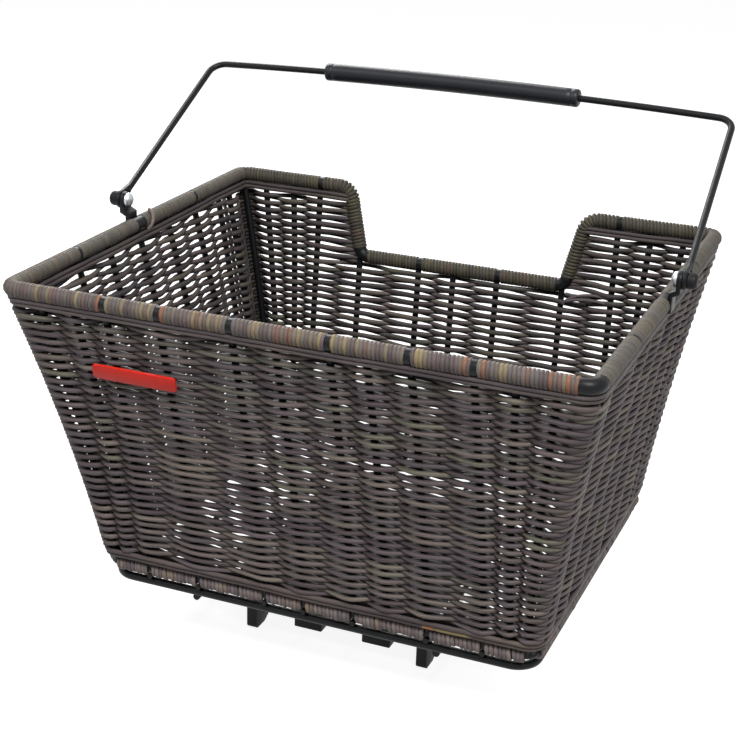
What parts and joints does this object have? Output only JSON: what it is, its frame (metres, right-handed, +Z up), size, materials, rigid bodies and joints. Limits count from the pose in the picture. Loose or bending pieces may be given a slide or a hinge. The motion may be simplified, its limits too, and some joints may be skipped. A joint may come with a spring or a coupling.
{
  "type": "bicycle carrier basket",
  "caption": "Tapered woven cane basket on a wire frame with a saddle dip in its back wall, a swinging bail handle and a sprung carrier adapter below.",
  "frame": {"origin": "under the middle of the rim, on the plane of the hook tips that the basket stands on", "axes": "+X to the rider's right, +Y forward towards the saddle dip, +Z up"},
  "size_m": [0.442, 0.3566, 0.379],
  "materials": {
    "steel_black": "satin black powder coat",
    "steel_bright": "zinc-plated steel",
    "cane_dark": "dark brown plastic cane with mixed strands",
    "cane_light": "lighter mixed brown and olive plastic cane",
    "grip_black": "satin black sleeve",
    "nylon_black": "moulded black nylon",
    "enamel_red": "glossy red, bare"
  },
  "bodies": {
    "basket": {"rim_rod": "steel_black", "stake_cage": "steel_black", "base_frame": "steel_black", "handle_tab_left": "steel_black", "handle_tab_right": "steel_black", "clamp_bar_front": "steel_black", "clamp_bar_back": "steel_black", "floor_wire_long_1": "steel_black", "floor_wire_long_2": "steel_black", "floor_wire_long_3": "steel_black", "floor_wire_long_4": "steel_black", "floor_wire_long_5": "steel_black", "floor_wire_long_6": "steel_black", "floor_wire_long_7": "steel_black", "floor_wire_cross_1": "steel_black", "floor_wire_cross_2": "steel_black", "floor_wire_cross_3": "steel_black", "floor_wire_cross_4": "steel_black", "floor_wire_cross_5": "steel_black", "pivot_bolt_left": "steel_bright", "pivot_bolt_right": "steel_bright", "latch_spring_left": "steel_bright", "latch_spring_right": "steel_bright", "clamp_screw_1": "steel_bright", "clamp_screw_2": "steel_bright", "clamp_screw_3": "steel_bright", "clamp_screw_4": "steel_bright", "weave_front": "cane_dark", "weave_left": "cane_dark", "weave_right": "cane_dark", "weave_back": "cane_dark", "weave_ear_left": "cane_dark", "weave_ear_right": "cane_dark", "weave_corner_front_left": "cane_dark", "weave_corner_front_right": "cane_dark", "weave_corner_back_left": "cane_dark", "weave_corner_back_right": "cane_dark", "rim_wrap_front": "cane_light", "rim_wrap_left_front": "cane_light", "rim_wrap_left_back": "cane_light", "rim_wrap_right_front": "cane_light", "rim_wrap_right_back": "cane_light", "rim_wrap_ear_left": "cane_light", "rim_wrap_ear_right": "cane_light", "rim_wrap_dip_left": "cane_light", "rim_wrap_dip_right": "cane_light", "rim_wrap_dip_bar": "cane_light", "base_wrap_front": "cane_light", "base_wrap_back": "cane_light", "base_wrap_left": "cane_light", "base_wrap_right": "cane_light", "adapter_plate": "nylon_black", "cap_nut_left": "nylon_black", "cap_nut_right": "nylon_black", "badge_plate": "enamel_red"},
    "handle": {"bail": "steel_black", "grip": "grip_black"},
    "latch": {"latch_slide": "nylon_black"}
  },
  "joints": [
    {"name": "handle_swing", "type": "hinge", "parent": "basket", "child": "handle", "pos_m": [0, -0.0024, 0.2913], "axis": [1, 0, 0], "range_deg": [-29.8, 153]},
    {"name": "latch_pull", "type": "slide", "parent": "basket", "child": "latch", "axis": [0, 1, 0], "range_m": [0, 0.012], "stiffness_N_per_m": 400, "springref_m": -0.02, "deforming": ["latch_spring_left", "latch_spring_right"]}
  ]
}
